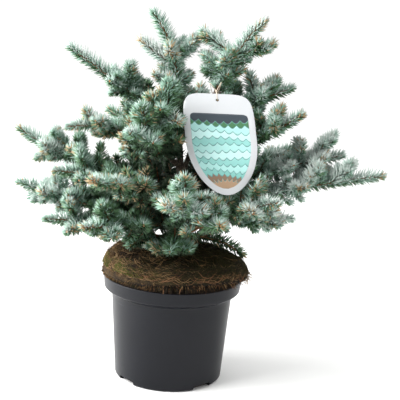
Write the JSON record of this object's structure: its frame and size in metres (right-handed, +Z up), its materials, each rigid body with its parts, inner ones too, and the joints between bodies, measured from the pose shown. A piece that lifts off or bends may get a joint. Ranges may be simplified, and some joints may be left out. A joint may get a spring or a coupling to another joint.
{
  "type": "potted globosa blue spruce",
  "caption": "Dwarf blue spruce with spreading bottle-brush boughs, on a fibre-topped root ball in a round black nursery pot, with a hanging plant label.",
  "frame": {"origin": "centre of the pot's flat underside, where it stands on the ground", "axes": "+Z up, along the pot's axis; +X to the right and +Y away from the viewer, as the plant is seen in its picture"},
  "size_m": [0.603, 0.4722, 0.605],
  "materials": {
    "black_plastic": "smooth black blow-moulded plastic with a soft sheen and faint scratches",
    "peat": "dark moist peat held together by roots",
    "fibre": "brown matted fibre with moss at the edge",
    "bark": "rough grey-brown bark",
    "needles": "waxy pale blue-green needles, darker green underneath",
    "label_plastic": "white plastic sheet, semi-gloss",
    "string": "thin pale twisted string"
  },
  "bodies": {
    "root": {"pot": "black_plastic", "root_ball": "peat", "fibre_mat": "fibre", "trunk": "bark", "label": "label_plastic", "label_string": "string", "bough_right_leader": "bark", "bough_upper_left": "bark", "bough_right_top": "bark", "bough_left_front_high": "bark", "bough_left_mid": "bark", "bough_left_low": "bark", "bough_front_left": "bark", "bough_left_front_low": "bark", "bough_front_low": "bark", "bough_front_right_low": "bark", "bough_front_right": "bark", "bough_right_low": "bark", "bough_right_mid": "bark", "bough_right_back": "bark", "bough_back_right": "bark", "bough_back_left": "bark", "bough_back_low": "bark", "bough_back_high": "bark", "foliage_right_leader": "needles", "foliage_upper_left": "needles", "foliage_right_top": "needles", "foliage_left_front_high": "needles", "foliage_left_mid": "needles", "foliage_left_low": "needles", "foliage_front_left": "needles", "foliage_left_front_low": "needles", "foliage_front_low": "needles", "foliage_front_right_low": "needles", "foliage_front_right": "needles", "foliage_right_low": "needles", "foliage_right_mid": "needles", "foliage_right_back": "needles", "foliage_back_right": "needles", "foliage_back_left": "needles", "foliage_back_low": "needles", "foliage_back_high": "needles", "foliage_left_leader": "needles", "foliage_left_back_high": "needles", "foliage_front_left_high": "needles", "foliage_front_high": "needles", "foliage_right_high": "needles", "foliage_left_front": "needles", "foliage_front_left_low": "needles", "foliage_right_back_low": "needles", "foliage_back_left_low": "needles", "foliage_back_top": "needles", "foliage_droop_front": "needles", "foliage_droop_left": "needles", "foliage_droop_right": "needles"}
  },
  "joints": []
}
